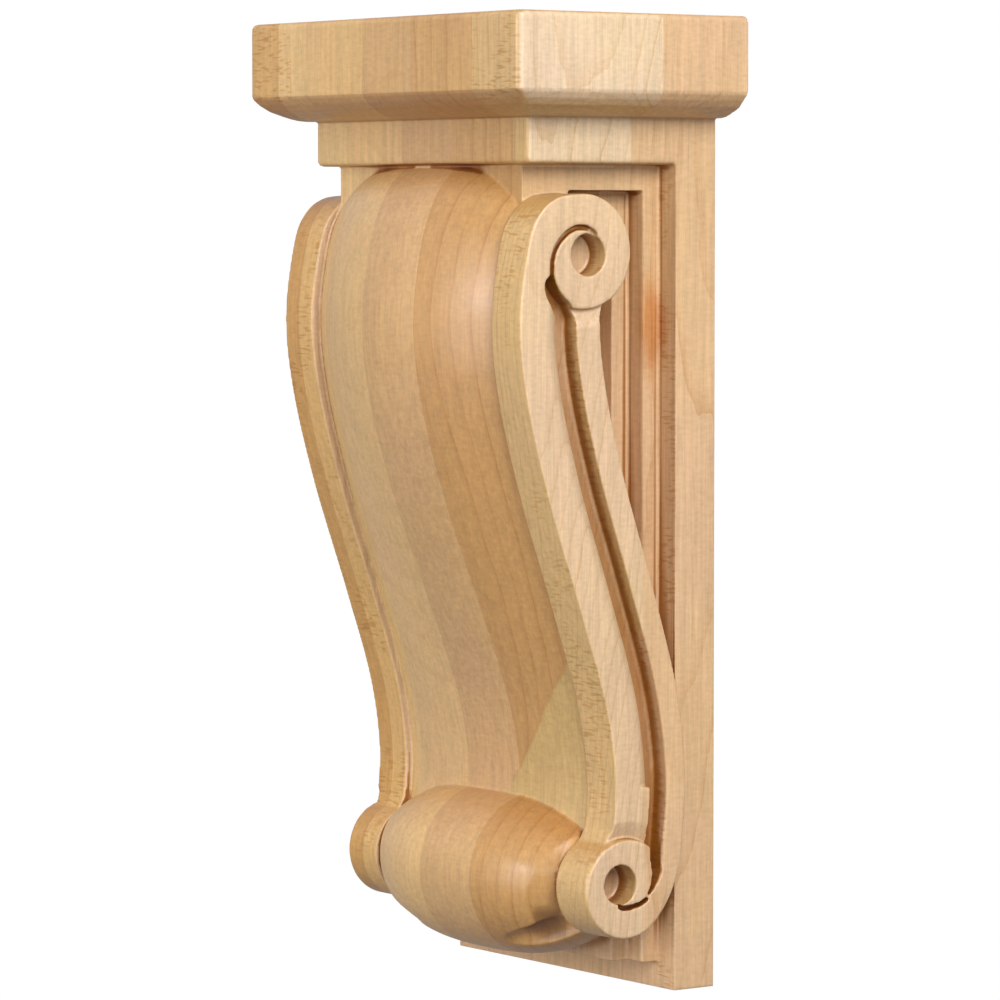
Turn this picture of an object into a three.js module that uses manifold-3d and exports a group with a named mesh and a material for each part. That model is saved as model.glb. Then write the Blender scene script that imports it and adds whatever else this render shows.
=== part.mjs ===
// Gothic corbel, carved as one piece from a glued-up block of maple.
// Millimetres, +Z up. The origin is the middle of the flat back, which lies on the wall.
// X runs across the face and -Y runs out from the wall. In the code below, "out" is the
// distance from the wall, "up" is the height above the foot and "across" is the place along X.

import * as THREE from 'three';
import { mergeVertices } from 'three/addons/utils/BufferGeometryUtils.js';
import Module from 'manifold-3d';

// Whole piece
const height = 305;

// Cap slab with the bevel under it
const capWidth = 150;
const capDepth = 87.5;
const capFaceHeight = 24;
const bevelDrop = 7.5;
const bevelInset = 10;
const bevelHollow = 0.42; // what is left of the inset where the bevel is as far up, as a share
const capCorner = 2.5;
const capArris = 1.6;

// Second tier, as wide as the back plate
const tierHeight = 14.5;
const tierSetback = 15.3; // behind the front of the cap
const tierArris = 1.4;

// Back plate
const plateSetIn = 16.3; // inside each end of the cap
const plateThickness = 15.6;

// Body between the two scrolls
const bodySetIn = 8.7; // inside each edge of the back plate
const neckSetback = 3.7; // behind the front of the second tier
const neckTenon = 24; // how far the neck runs down behind the crowned face
const bodyFoot = 8.3;
const footSetback = 11.7; // behind the axis of the barrel

// Stepped panel sunk into each side of the body
const stileWidth = 6.3;
const railHeight = 8;
const stepDepth = 7.8;
const panelSteps = 2;

// Scrolls
const scrollThickness = 15.3;
const scrollSetback = 7.5; // behind the front of the cap
const scrollDrop = 9.1; // below the second tier
const scrollLap = 0.5; // how far a scroll is let into the body
const bandTop = 14.9;
const bandFoot = 13;
const grooveWidth = 6.4;
const grooveDepth = 5.4;
const strandTop = 9.2;
const strandFoot = 7.4;
const easeWidth = 4.6;
const easeDepth = 1.8;

// Volutes at the two ends of a scroll
const volutePitch = 16.8;
const upperRadius = 17.8;
const upperEyeRadius = 6.5;
const upperLip = 0.7; // wood between the end of the coil and its eye
const lowerRadius = 15.7;
const lowerEyeRadius = 6.2;
const lowerLip = 1.2;
const lowerLift = 10.8; // above the foot of the body
const bossHeight = 0.8;
const eyeDepth = 8.5;
const slitWidth = 1.1;
const slitDepth = 1.8;

// Crowned face between the scrolls: its rise in the middle, above the front of the bands
const crownTop = 12.2;
const crownMiddle = 8.1;
const crownFoot = 3;
const crownRound = 2; // power of the rounding across the face
const crownFull = 3.6; // the same at the shoulder, which is fuller

// How far the crowned face sinks below the bands beside them
const sinkTop = 0.3;
const sinkMiddle = 3.5;
const sinkFoot = 2.5;

// Barrel roll across the foot
const barrelRadius = 26.3;
const barrelSwell = 2.8; // power of the swelling
const barrelDrop = 0.6; // below the volutes at its ends
const cutMouth = 13.6;
const cutDepth = 4.2;
const cutLand = 1; // flat in the bottom of the cut
const lipOut = 9.5; // the lip under the cut, from the axis of the barrel
const lipDrop = 7;

// How far a cut runs past the wood, and how far solids that are joined run into each other
const overrun = 5;
const overlap = 1;

// Places that follow from the sizes above
const tierDepth = capDepth - tierSetback;
const neckDepth = tierDepth - neckSetback;
const scrollDepth = capDepth - scrollSetback;
const plateSide = capWidth / 2 - plateSetIn;
const bodySide = plateSide - bodySetIn;
const scrollFace = bodySide + scrollThickness;
const capUnderside = height - capFaceHeight - bevelDrop;
const tierUnderside = capUnderside - tierHeight;
const railUnderside = tierUnderside - railHeight;
const scrollTop = tierUnderside - scrollDrop;
const scrollBottom = bodyFoot + lowerLift;

const wasm = await Module();
wasm.setup();

// A closed geometry as a solid that can be joined and cut
function solid(geometry) {
  geometry.deleteAttribute('normal');
  geometry.deleteAttribute('uv');
  const merged = mergeVertices(geometry, 1e-4);
  return new wasm.Manifold(new wasm.Mesh({
    numProp: 3,
    vertProperties: new Float32Array(merged.attributes.position.array),
    triVerts: new Uint32Array(merged.index.array),
  }));
}

// A block given by its two ends in each direction
function block(across, out, up) {
  const box = new THREE.BoxGeometry(across[1] - across[0], out[1] - out[0], up[1] - up[0]);
  box.translate((across[0] + across[1]) / 2, -(out[0] + out[1]) / 2, (up[0] + up[1]) / 2);
  return solid(box);
}

// A drawing seen from the side, in out and up, as a slab that runs across
const fromSide = new THREE.Matrix4().set(0, 0, -1, 0, -1, 0, 0, 0, 0, 1, 0, 0, 0, 0, 0, 1);

function sideSlab(points, from, to) {
  const slab = new THREE.ExtrudeGeometry(new THREE.Shape(points), { depth: to - from, bevelEnabled: false });
  slab.applyMatrix4(fromSide).translate(to, 0, 0);
  return solid(slab);
}

// A drawing seen from the front, in across and up, as a slab that runs out from the wall
function frontSlab(points, out) {
  const slab = new THREE.ExtrudeGeometry(new THREE.Shape(points), { depth: out, bevelEnabled: false });
  slab.rotateX(Math.PI / 2);
  return solid(slab);
}

// A box with many faces whose points are placed by a rule on three numbers from 0 to 1
function shapedBox(steps, place) {
  const box = new THREE.BoxGeometry(1, 1, 1, ...steps);
  const spots = box.attributes.position;
  for (let i = 0; i < spots.count; i += 1) {
    const [across, out, up] = place(spots.getX(i) + 0.5, 0.5 - spots.getY(i), spots.getZ(i) + 0.5);
    spots.setXYZ(i, across, -out, up);
  }
  return solid(box);
}

// The place at a distance from a centre, with its angle in degrees counted from "out" towards "up"
function around(centre, degrees, radius) {
  const angle = THREE.MathUtils.degToRad(degrees);
  return new THREE.Vector2(Math.cos(angle), Math.sin(angle)).multiplyScalar(radius).add(centre);
}

// Points at even steps between two values, each placed by a rule
function points(from, to, count, place) {
  return Array.from({ length: count + 1 }, (_, i) => place(from + (to - from) * i / count));
}

function arc(centre, radius, from, to, count) {
  return points(from, to, count, (degrees) => around(centre, degrees, radius));
}

function circle(centre, radius, count) {
  return arc(centre, radius, 0, 360, count).slice(1);
}

// A piece on the right side, with its mirror image on the left
function bothSides(right) {
  return right.add(right.mirror([1, 0, 0]));
}

// Inset and height of the points of a rounded arris, in an edge that is listed from its foot up
const halfRound = 1 - Math.SQRT1_2;

function roundedTop(radius, top) {
  return [[0, top - radius], [radius * halfRound, top - radius * halfRound], [radius, top]];
}

function roundedFoot(radius, foot) {
  return [[radius, foot], [radius * halfRound, foot + radius * halfRound], [0, foot + radius]];
}

// Moulding that returns along both sides, with its edge as a list of insets and heights
function moulding(halfWidth, depth, corner, edge) {
  const [foot, top] = [edge[0][1], edge.at(-1)[1]];
  const front = edge.map(([inset, up]) => new THREE.Vector2(depth - inset, up));
  const section = [new THREE.Vector2(0, foot), ...front, new THREE.Vector2(0, top)];
  const right = edge.map(([inset, up]) => new THREE.Vector2(halfWidth - inset, up));
  const left = edge.map(([inset, up]) => new THREE.Vector2(inset - halfWidth, up)).reverse();
  const plan = new THREE.Shape([
    new THREE.Vector2(-halfWidth, 0),
    ...arc(new THREE.Vector2(corner - halfWidth, corner - depth), corner, 180, 270, 3),
    ...arc(new THREE.Vector2(halfWidth - corner, corner - depth), corner, 270, 360, 3),
    new THREE.Vector2(halfWidth, 0),
  ]);
  const column = new THREE.ExtrudeGeometry(plan, { depth: top - foot, bevelEnabled: false });
  column.translate(0, 0, foot);
  return sideSlab(section, -halfWidth, halfWidth)
    .intersect(frontSlab([...right, ...left], depth))
    .intersect(solid(column));
}

// Scroll line: the front arris of a band, drawn as shares of the scroll's own reach and height
const lineShares = [
  [0.449, 0.137], [0.433, 0.212], [0.491, 0.314], [0.641, 0.443], [0.828, 0.592],
  [0.957, 0.725], [1, 0.832], [0.946, 0.936], [0.876, 0.976], [0.775, 0.995],
];
const upperCentreShare = 0.627;
const lowerCentreShare = 0.374;
const lineEndAngle = 84; // where the line runs into the upper volute

function reach(share) {
  return plateThickness + share * (scrollDepth - plateThickness);
}

function level(share) {
  return scrollBottom + share * (scrollTop - scrollBottom);
}

const upperCentre = new THREE.Vector2(reach(upperCentreShare), scrollTop - upperRadius);
const lowerCentre = new THREE.Vector2(reach(lowerCentreShare), scrollBottom + lowerRadius);
const scrollLine = new THREE.SplineCurve([
  ...lineShares.map(([out, up]) => new THREE.Vector2(reach(out), level(up))),
  around(upperCentre, lineEndAngle, upperRadius),
]);

// The scroll line moved outwards by a distance, at a share of its length from the foot up
function offLine(share, distance) {
  const spot = scrollLine.getPointAt(share);
  const along = scrollLine.getTangentAt(share);
  return spot.add(new THREE.Vector2(along.y, -along.x).multiplyScalar(distance));
}

function offLinePoints(from, to, count, distance) {
  return points(from, to, count, (share) => offLine(share, distance(share)));
}

// Edges of the two strands and of the groove between them, each behind the scroll line
const groove = { foot: 0.02, top: 0.775, steps: 24 };
const onLine = () => 0;
const bandWidth = (share) => THREE.MathUtils.mapLinear(share, 0, groove.top, bandFoot, bandTop);
const strandWidth = (share) => THREE.MathUtils.mapLinear(share, 0, groove.top, strandFoot, strandTop);
const bandBack = (share) => -bandWidth(share);
const strandFront = (share) => -bandWidth(share) - grooveWidth;
const strandBack = (share) => -bandWidth(share) - grooveWidth - strandWidth(share);

// Volutes: the eye stands off the centre by shares of the radius, and the coil's edge winds in at a
// constant pitch until it ends beside the eye, with a slit behind it
function volute(centre, radius, eyeRadius, lip, shift, coilEnd, slitStart) {
  const eye = centre.clone().add(new THREE.Vector2(...shift).multiplyScalar(radius));
  const coil = (degrees) => eyeRadius + lip + volutePitch * (coilEnd - degrees) / 360;
  return { eye, eyeRadius, coil, coilEnd, slitStart };
}

const upper = volute(upperCentre, upperRadius, upperEyeRadius, upperLip, [-0.09, -0.05], 126, -30);
const lower = volute(lowerCentre, lowerRadius, lowerEyeRadius, lowerLip, [0.17, 0.1], 281, 205);

// Points along a coil's edge, moved outwards by a width that may change with the angle
function coilPoints(end, from, to, count, width) {
  return points(from, to, count, (degrees) => around(end.eye, degrees, end.coil(degrees) + width(degrees)));
}

// Outline of a whole scroll: up the band, round the upper volute, down the strand behind it, and
// through the curl under the lower volute round to the foot of the band
const strandEnd = offLine(groove.foot, strandBack(groove.foot));
const curl = new THREE.EllipseCurve(
  lowerCentre.x, strandEnd.y,
  lowerCentre.x - strandEnd.x, strandEnd.y - scrollBottom,
  THREE.MathUtils.degToRad(188), THREE.MathUtils.degToRad(262),
);
const scrollOutline = [
  ...offLinePoints(0.01, 1, 40, onLine),
  ...arc(upperCentre, upperRadius, 90, 240, 16),
  ...offLinePoints(groove.top, groove.foot, groove.steps, strandBack),
  ...curl.getPoints(9),
  ...arc(lowerCentre, lowerRadius, 270, 424, 20),
];

// Plan of the groove: a drop at its upper end, under the volute, and a tail that winds into the lower coil
const drop = { from: -22, to: -66, middle: -46, halfAngle: 26 };
const tail = { from: 168, to: 225, mouth: 4.2 };
const dropWidth = (degrees) => {
  const share = (degrees - drop.middle) / drop.halfAngle;
  return (grooveWidth - overlap) * Math.sqrt(Math.max(0, 1 - share ** 2));
};
const tailWidth = (degrees) => tail.mouth * ((tail.to - degrees) / (tail.to - tail.from)) ** 2;
const grooveOutline = [
  ...coilPoints(upper, drop.from, drop.to, 6, onLine),
  ...offLinePoints(groove.top, groove.foot, groove.steps, strandFront),
  ...coilPoints(lower, tail.from, tail.to - 9, 5, tailWidth),
  ...coilPoints(lower, tail.to - 3, 150, 6, onLine),
  ...offLinePoints(groove.foot, groove.top, groove.steps, bandBack),
  ...coilPoints(upper, drop.middle - 4, drop.from - 4, 5, dropWidth),
];

// Slit behind the end of a coil, which narrows to half its width
function slitOutline(end) {
  const [from, to] = [end.slitStart, end.coilEnd - 4];
  const width = (degrees) => slitWidth * (1 - 0.5 * (degrees - from) / (to - from));
  return [...coilPoints(end, from, to, 12, width), ...coilPoints(end, to, from, 12, onLine)];
}

// Easing of the band along the groove, deepest at the groove's own edge
const easing = shapedBox([1, 1, 30], (depth, side, along) => {
  const share = THREE.MathUtils.lerp(0.07, groove.top + 0.02, along);
  const spread = THREE.MathUtils.lerp(-overlap, easeWidth, side);
  const floor = scrollFace - easeDepth * (1 - spread / easeWidth);
  const spot = offLine(share, bandBack(share) + spread);
  return [THREE.MathUtils.lerp(floor, scrollFace + overlap, depth), spot.x, spot.y];
});

// The scroll on the right side, with its groove, slits and eyes
function scroll() {
  const cut = (outline, depth) => sideSlab(outline, scrollFace - depth, scrollFace + overrun);
  const boss = circle(lowerCentre, lowerRadius - scrollLap, 24);
  return sideSlab(scrollOutline, bodySide - scrollLap, scrollFace)
    .add(sideSlab(boss, scrollFace - overlap, scrollFace + bossHeight))
    .subtract(cut(grooveOutline, grooveDepth))
    .subtract(easing)
    .subtract(cut(slitOutline(upper), slitDepth))
    .subtract(cut(slitOutline(lower), slitDepth))
    .subtract(cut(circle(upper.eye, upper.eyeRadius, 24), eyeDepth))
    .subtract(cut(circle(lower.eye, lower.eyeRadius, 24), eyeDepth));
}

// Crowned face: it stands above the bands in the middle and sinks below them beside each scroll.
// The belly is at full rise from there up, and the shoulder runs from its own share to the top.
const bellyShare = 0.7;
const shoulderShare = 0.9;
const crownSteps = [20, 1, 36];
const crownCloseness = 1.4; // power that sets the steps closer towards the shoulder

function crown(share, side) {
  const belly = THREE.MathUtils.smoothstep(share, 0, bellyShare);
  const shoulder = THREE.MathUtils.smoothstep(share, shoulderShare, 1);
  const rise = THREE.MathUtils.lerp(THREE.MathUtils.lerp(crownFoot, crownMiddle, belly), crownTop, shoulder);
  const sink = THREE.MathUtils.lerp(THREE.MathUtils.lerp(sinkFoot, sinkMiddle, belly), sinkTop, shoulder);
  const power = THREE.MathUtils.lerp(crownRound, crownFull, shoulder);
  return (rise + sink) * (1 - Math.abs(side) ** power) - sink;
}

const crownedFace = shapedBox(crownSteps, (across, front, up) => {
  const side = 2 * across - 1;
  const share = 1 - (1 - up) ** crownCloseness;
  const spot = offLine(share, crown(share, side));
  const back = new THREE.Vector2(plateThickness / 2, THREE.MathUtils.lerp(lowerCentre.y, scrollTop, share));
  const place = back.lerp(spot, front);
  return [side * bodySide, place.x, place.y];
});

// Stepped panel on the right side: each step is sunk deeper, a stile and a rail inside the one before.
// The wood in front of the scroll stays, and so does the shoulder over its upper end.
const panelFrontShare = 0.98;

function panel() {
  const steps = Array.from({ length: panelSteps }, (_, i) => block(
    [bodySide - (i + 1) * stepDepth, bodySide + overrun],
    [plateThickness + (i + 1) * stileWidth, capDepth],
    [bodyFoot - overrun, railUnderside - i * railHeight],
  ));
  const front = offLinePoints(0.01, panelFrontShare, 40, () => -overlap);
  const ahead = [
    ...front,
    new THREE.Vector2(front.at(-1).x, height),
    new THREE.Vector2(capDepth + overrun, height),
    new THREE.Vector2(capDepth + overrun, 0),
    new THREE.Vector2(lowerCentre.x, 0),
  ];
  return steps.reduce((sunk, step) => sunk.add(step))
    .subtract(sideSlab(scrollOutline, 0, capWidth))
    .subtract(sideSlab(ahead, 0, capWidth));
}

// A profile of radius and place across, turned about the axis of the barrel
function turned(profile, segments, lift) {
  const spots = profile.map(([radius, across]) => new THREE.Vector2(radius, across));
  const lathe = new THREE.LatheGeometry(spots, segments);
  lathe.rotateZ(-Math.PI / 2).translate(0, -lowerCentre.x, lowerCentre.y + lift);
  return solid(lathe);
}

// Barrel roll: a swelling cylinder between the lower volutes
function barrel() {
  const endRadius = lowerRadius - barrelDrop;
  const swell = points(-1, 1, 18, (side) => {
    return [barrelRadius - (barrelRadius - endRadius) * Math.abs(side) ** barrelSwell, side * bodySide];
  });
  return turned([[0, -bodySide], ...swell, [0, bodySide]], 40, 0);
}

// Cut between the barrel and the right volute: deepest at the foot, where a lip of wood closes it
function barrelCut() {
  const inner = lowerRadius - cutDepth;
  const edge = bodySide - scrollLap / 2;
  const mouth = [[barrelRadius, edge - cutMouth], [barrelRadius, edge]];
  const profile = [[inner, edge], [inner, edge - cutLand], ...mouth, [inner, edge]];
  const lip = block([0, bodySide], [0, lowerCentre.x + lipOut], [0, lowerCentre.y - lipDrop]);
  const back = block([0, bodySide], [0, lowerCentre.x], [0, height]);
  return turned(profile, 32, cutDepth).subtract(lip).subtract(back);
}

// The whole corbel
const cap = moulding(capWidth / 2, capDepth, capCorner, [
  [bevelInset, capUnderside],
  [bevelInset * bevelHollow, capUnderside + bevelDrop * bevelHollow],
  [0, capUnderside + bevelDrop],
  ...roundedTop(capArris, height),
]);
const tier = moulding(plateSide, tierDepth, tierArris, [
  ...roundedFoot(tierArris, tierUnderside),
  [0, capUnderside + overlap],
]);
const plate = block([-plateSide, plateSide], [0, plateThickness], [0, tierUnderside + tierArris]);

// Body behind the crowned face and the barrel, let into the back plate
function core(depth, from, to) {
  return block([-bodySide, bodySide], [plateThickness / 2, depth], [from, to]);
}

const neck = core(neckDepth, tierUnderside - neckTenon, tierUnderside + overlap);
const heart = core(lowerCentre.x, lowerCentre.y - overlap, scrollLine.points[0].y);
const foot = core(lowerCentre.x - footSetback, bodyFoot, lowerCentre.y + overrun);

const corbel = crownedFace
  .add(neck)
  .add(heart)
  .add(foot)
  .subtract(bothSides(panel()))
  .add(barrel().subtract(bothSides(barrelCut())))
  .add(cap)
  .add(tier)
  .add(plate)
  .add(bothSides(scroll()));

const carved = corbel.getMesh();
const geometry = new THREE.BufferGeometry();
geometry.setAttribute('position', new THREE.BufferAttribute(new Float32Array(carved.vertProperties), 3));
geometry.setIndex(new THREE.BufferAttribute(new Uint32Array(carved.triVerts), 1));
geometry.computeVertexNormals();

const maple = new THREE.MeshStandardMaterial({ color: 0xdfba87, roughness: 0.42, metalness: 0 });
const mesh = new THREE.Mesh(geometry, maple);
mesh.name = 'corbel';
mesh.position.z = -height / 2;

const group = new THREE.Group();
group.add(mesh);

export default group;
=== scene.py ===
import bisect
import math
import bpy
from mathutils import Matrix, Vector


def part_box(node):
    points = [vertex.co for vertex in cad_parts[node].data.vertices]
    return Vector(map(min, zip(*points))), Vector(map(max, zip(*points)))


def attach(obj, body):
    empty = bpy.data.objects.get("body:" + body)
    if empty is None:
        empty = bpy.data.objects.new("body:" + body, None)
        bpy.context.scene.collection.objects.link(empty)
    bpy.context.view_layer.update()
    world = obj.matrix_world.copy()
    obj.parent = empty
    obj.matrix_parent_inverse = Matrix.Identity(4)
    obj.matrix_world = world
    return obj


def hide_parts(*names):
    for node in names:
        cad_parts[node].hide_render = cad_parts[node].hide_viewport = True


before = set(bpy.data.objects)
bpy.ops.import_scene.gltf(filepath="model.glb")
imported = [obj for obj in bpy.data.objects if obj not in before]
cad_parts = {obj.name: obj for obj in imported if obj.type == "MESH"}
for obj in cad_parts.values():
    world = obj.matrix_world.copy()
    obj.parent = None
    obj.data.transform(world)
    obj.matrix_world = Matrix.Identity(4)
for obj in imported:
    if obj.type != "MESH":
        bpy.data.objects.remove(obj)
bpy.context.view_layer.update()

from types import SimpleNamespace

import bmesh
import bpy
import numpy as np
from mathutils import Matrix, Vector
from mathutils.bvhtree import BVHTree
from mathutils.geometry import interpolate_bezier

frameLow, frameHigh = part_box("corbel")
scene = bpy.context.scene

# Gothic corbel, carved from a glued-up block of maple. Millimetres, with the wall at Y = 0 and the
# foot at Z = 0 while it is shaped. "Out" is the distance from the wall and "up" is above the foot.
corbelSizes = {
    # whole, taken from the frame
    "height": (frameHigh.z - frameLow.z) * 1000, "capWidth": (frameHigh.x - frameLow.x) * 1000,
    # cap slab with the bevel under it, whose steps are an inset and a height each
    "capDepth": 87.5, "capFaceHeight": 24.0, "bevelDrop": 7.5, "capCorner": 2.6, "capArris": 1.7,
    "bevelSteps": [(12.6, 0.0), (10.8, 0.25), (9.0, 0.85), (7.2, 1.65), (4.2, 3.15), (1.8, 5.2), (0.3, 7.1)],
    # second tier and back plate
    "tierHeight": 14.5, "tierSetback": 15.3, "tierArris": 1.4, "plateSetIn": 16.3, "plateThickness": 15.6,
    # body between the scrolls
    "bodySetIn": 8.7, "neckSetback": 3.7, "neckTenon": 24.0, "bodyFoot": 8.3, "footSetback": 11.7,
    # panel sunk in each side
    "stileWidth": 6.3, "railHeight": 8.0, "stepDepth": 7.8, "panelSteps": 2, "crestBehind": 5.0,
    # scrolls and the groove in them
    "scrollThickness": 15.3, "scrollSetback": 7.5, "scrollDrop": 9.1, "scrollLap": 0.5,
    "bandTop": 14.9, "bandFoot": 13.0, "grooveWidth": 6.4, "grooveDepth": 6.8,
    "strandTop": 9.2, "strandFoot": 7.4, "easeWidth": 5.0, "easeDepth": 2.6, "easeFall": 1.5,
    # scroll line, the front arris of a band: places from the foot up, as shares of the scroll's reach
    # and height, and the angle where it runs into the upper volute
    "lineShares": [
        (0.449, 0.137), (0.433, 0.212), (0.491, 0.314), (0.641, 0.443), (0.828, 0.592),
        (0.957, 0.725), (1.0, 0.832), (0.946, 0.936), (0.876, 0.976), (0.775, 0.995),
    ],
    "lineEnd": 84,
    # where the groove and the easing start and end, as shares of the line's length
    "grooveFoot": 0.02, "grooveTop": 0.775, "easeFoot": 0.07, "easeTop": 0.795,
    # volutes: centres as shares of the reach, eyes off the centre as shares of the radius, then angles
    "volutePitch": 16.8, "upperRadius": 17.8, "upperEye": 6.5, "upperLip": 0.7, "upperOut": 0.627,
    "lowerRadius": 15.7, "lowerEye": 6.2, "lowerLip": 1.2, "lowerOut": 0.374, "lowerLift": 10.8,
    "upperShift": (-0.09, -0.05), "upperCoilEnd": 126, "upperSlit": -30, "upperRamp": (236, 288),
    "lowerShift": (0.17, 0.1), "lowerCoilEnd": 281, "lowerSlit": 205, "lowerRamp": (58, 128),
    "bossHeight": 0.8, "eyeDepth": 8.5, "slitWidth": 1.6, "slitDepth": 2.2, "slitIn": 1.7, "slitShort": 4,
    "slitClosing": 2.5,
    "rampReach": 5.2, "rampDepth": 2.3, "rampLap": 0.2,
    # ends of the groove: a drop under the upper volute and a tail that winds into the lower coil
    "dropMiddle": -46, "dropSpan": 26, "tailWidth": 4.2, "tailEnd": 225, "tailSpan": 57,
    # crowned face: rise in the middle and sinking at the sides, and shares where belly and shoulder start
    "crownTop": 12.2, "crownMiddle": 8.1, "crownFoot": 3.0, "crownRound": 2.0, "crownFull": 3.6,
    "sinkTop": 0.3, "sinkMiddle": 3.5, "sinkFoot": 2.5, "bellyEnd": 0.7, "shoulderStart": 0.9,
    "crownCrowding": 1.4,
    # barrel roll
    "barrelRadius": 26.3, "barrelSwell": 2.8, "barrelDrop": 0.6,
    "cutMouth": 13.6, "cutDepth": 4.2, "cutLand": 1.0, "lipOut": 9.5, "lipDrop": 7.0,
    "gougeRadius": 5.2, "gougeFrom": (24.0, 30.2), "gougeTo": (52.0, 15.4), "gougeAngle": -52,
    # finish of the surface: grid it is carved on, passes of sanding, and triangles that are kept
    "carvingGrid": 0.5, "sandingPasses": 3, "sandingStrength": 0.45, "triangles": 168000,
    # shelter: how far it looks and with how many rays, the length and change that get an edge cut
    "shelterReach": 14.0, "shelterRays": 24, "shelterLift": 0.3, "shelterPasses": 3, "shelterOwn": 0.4,
    "steepLength": 1.8, "steepChange": 0.14, "steepRounds": 4, "mostTriangles": 196000,
}
size = SimpleNamespace(**corbelSizes)
overrun = 5.0  # how far a cut runs past the wood
overlap = 1.0  # how far solids that are joined run into each other
lineLap = 0.01  # share of the scroll line that is left off at an end
lineReach = 0.006  # share of the scroll line on either side that gives its direction

tierDepth = size.capDepth - size.tierSetback
neckDepth = tierDepth - size.neckSetback
scrollDepth = size.capDepth - size.scrollSetback
plateSide = size.capWidth / 2 - size.plateSetIn
bodySide = plateSide - size.bodySetIn
scrollFace = bodySide + size.scrollThickness
capUnderside = size.height - size.capFaceHeight - size.bevelDrop
tierUnderside = capUnderside - size.tierHeight
railUnderside = tierUnderside - size.railHeight
scrollTop = tierUnderside - size.scrollDrop
scrollBottom = size.bodyFoot + size.lowerLift
barrelNarrowing = size.barrelRadius - (size.lowerRadius - size.barrelDrop)


def mix(start, end, share):
    return start + (end - start) * share


def easedStep(value, start, end):
    share = min(max((value - start) / (end - start), 0.0), 1.0)
    return share * share * (3 - 2 * share)


def evenly(start, end, count, place):
    return [place(mix(start, end, i / count)) for i in range(count + 1)]


def around(centre, degrees, radius):
    angle = math.radians(degrees)
    return centre + Vector((math.cos(angle), math.sin(angle))) * radius


def arc(centre, radius, start, end, count):
    return evenly(start, end, count, lambda degrees: around(centre, degrees, radius))


def circle(centre, radius, count=72):
    return arc(centre, radius, 0, 360, count)[1:]


def placeOf(outShare, upShare):
    return Vector((mix(size.plateThickness, scrollDepth, outShare), mix(scrollBottom, scrollTop, upShare)))


upperCentre = Vector((placeOf(size.upperOut, 0).x, scrollTop - size.upperRadius))
lowerCentre = Vector((placeOf(size.lowerOut, 0).x, scrollBottom + size.lowerRadius))
lineStations = [placeOf(*shares) for shares in size.lineShares]
lineStations += [around(upperCentre, size.lineEnd, size.upperRadius)]


def smoothLine(stations, steps=60):
    line = []
    for i in range(len(stations) - 1):
        before, after = stations[max(i - 1, 0)], stations[min(i + 2, len(stations) - 1)]
        start, end = stations[i], stations[i + 1]
        handles = (start, start + (end - before) / 6, end - (after - start) / 6, end)
        line += [spot.to_2d() for spot in interpolate_bezier(*[h.to_3d() for h in handles], steps)][:-1]
    return line + [stations[-1].copy()]


scrollLine = smoothLine(lineStations)
runs = [0.0]
for near, far in zip(scrollLine, scrollLine[1:]):
    runs.append(runs[-1] + (far - near).length)


def onLine(share):
    run = min(max(share, 0.0), 1.0) * runs[-1]
    i = min(max(bisect.bisect_right(runs, run), 1), len(runs) - 1)
    return scrollLine[i - 1].lerp(scrollLine[i], (run - runs[i - 1]) / (runs[i] - runs[i - 1]))


def offLine(share, distance=0.0):  # a place on the line, moved outwards by a distance
    along = (onLine(share + lineReach) - onLine(share - lineReach)).normalized()
    return onLine(share) + Vector((along.y, -along.x)) * distance


# edges of the two strands of a scroll, each behind the line
def bandBack(share):
    return -mix(size.bandFoot, size.bandTop, share / size.grooveTop)


def strandFront(share):
    return bandBack(share) - size.grooveWidth


def strandBack(share):
    return strandFront(share) - mix(size.strandFoot, size.strandTop, share / size.grooveTop)


def alongLine(start, end, count, distance=None):
    return evenly(start, end, count, lambda share: offLine(share, distance(share) if distance else 0.0))


# volutes: an eye off the centre, and a coil whose edge winds in to it
upper = SimpleNamespace(
    eye=upperCentre + Vector(size.upperShift) * size.upperRadius, eyeRadius=size.upperEye,
    lip=size.upperLip, coilEnd=size.upperCoilEnd, slitStart=size.upperSlit,
)
lower = SimpleNamespace(
    eye=lowerCentre + Vector(size.lowerShift) * size.lowerRadius, eyeRadius=size.lowerEye,
    lip=size.lowerLip, coilEnd=size.lowerCoilEnd, slitStart=size.lowerSlit,
)


def coil(end, start, stop, count, width=None):
    def place(degrees):
        radius = end.eyeRadius + end.lip + size.volutePitch * (end.coilEnd - degrees) / 360
        return around(end.eye, degrees, radius + (width(degrees) if width else 0.0))
    return evenly(start, stop, count, place)


strandEnd = offLine(size.grooveFoot, strandBack(size.grooveFoot))
curlReach, curlDrop = lowerCentre.x - strandEnd.x, strandEnd.y - scrollBottom


def curl(degrees):  # the strand's way round under the lower volute
    angle = math.radians(degrees)
    return Vector((lowerCentre.x + curlReach * math.cos(angle), strandEnd.y + curlDrop * math.sin(angle)))


# each run of an outline says where it starts and ends, in degrees or in shares of the line, and its
# number of steps
scrollOutline = (
    alongLine(lineLap, 1, 160)
    + arc(upperCentre, size.upperRadius, 90, 240, 60)
    + alongLine(size.grooveTop, size.grooveFoot, 110, strandBack)
    + evenly(188, 262, 36, curl)
    + arc(lowerCentre, size.lowerRadius, 270, 424, 60)
)


def finished(bm, name):  # a bmesh becomes an object, closed and with its faces outwards
    bmesh.ops.remove_doubles(bm, verts=bm.verts, dist=1e-4)
    bmesh.ops.recalc_face_normals(bm, faces=bm.faces)
    mesh = bpy.data.meshes.new(name)
    bm.to_mesh(mesh)
    bm.free()
    piece = bpy.data.objects.new(name, mesh)
    scene.collection.objects.link(piece)
    return piece


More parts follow.
